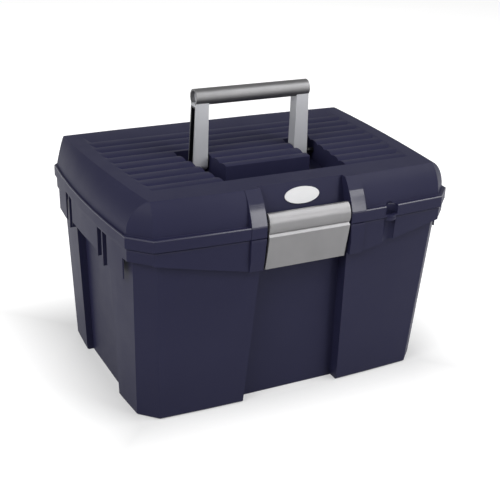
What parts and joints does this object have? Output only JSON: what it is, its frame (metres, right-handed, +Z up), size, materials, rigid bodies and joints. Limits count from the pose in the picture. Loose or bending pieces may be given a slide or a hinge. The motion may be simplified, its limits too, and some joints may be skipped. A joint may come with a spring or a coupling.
{
  "type": "horse grooming box",
  "caption": "Moulded grooming box with a domed ribbed lid, a folding carry handle, a front latch, rear hinges and a lift-out tray.",
  "frame": {"origin": "middle of the tub's footprint, on the surface that the box stands on", "axes": "+X to the right seen from the front, -Y towards the front with the latch, +Z up"},
  "size_m": [0.4, 0.3004, 0.3242],
  "materials": {
    "shell": "fine-grained navy polypropylene",
    "silver": "silver-pigmented plastic, satin",
    "badge": "bare white label plate",
    "pins": "drawn steel",
    "tray": "grey polypropylene"
  },
  "bodies": {
    "base": {"base_tub": "shell", "hinge_pin_left": "pins", "hinge_pin_right": "pins"},
    "lid": {"lid_shell": "shell", "lid_badge": "badge", "handle_pin_left": "pins", "handle_pin_right": "pins", "latch_pin": "pins"},
    "handle": {"handle_grip": "silver", "handle_arm_left": "silver", "handle_arm_right": "silver"},
    "latch": {"latch": "silver"},
    "tray": {"lift_out_tray": "tray"}
  },
  "joints": [
    {"name": "lid_hinge", "type": "hinge", "parent": "base", "child": "lid", "pos_m": [0, 0.15, 0.20335], "axis": [-1, 0, 0], "range_deg": [0, 105]},
    {"name": "handle_pivot", "type": "hinge", "parent": "lid", "child": "handle", "pos_m": [0, 0, 0.2385], "axis": [1, 0, 0], "range_deg": [0, 90]},
    {"name": "latch_hinge", "type": "hinge", "parent": "lid", "child": "latch", "pos_m": [0, -0.138, 0.213], "axis": [-1, 0, 0], "range_deg": [0, 75]},
    {"name": "tray_lift", "type": "slide", "parent": "base", "child": "tray", "axis": [0, 0, 1], "range_m": [0, 0.02]}
  ]
}
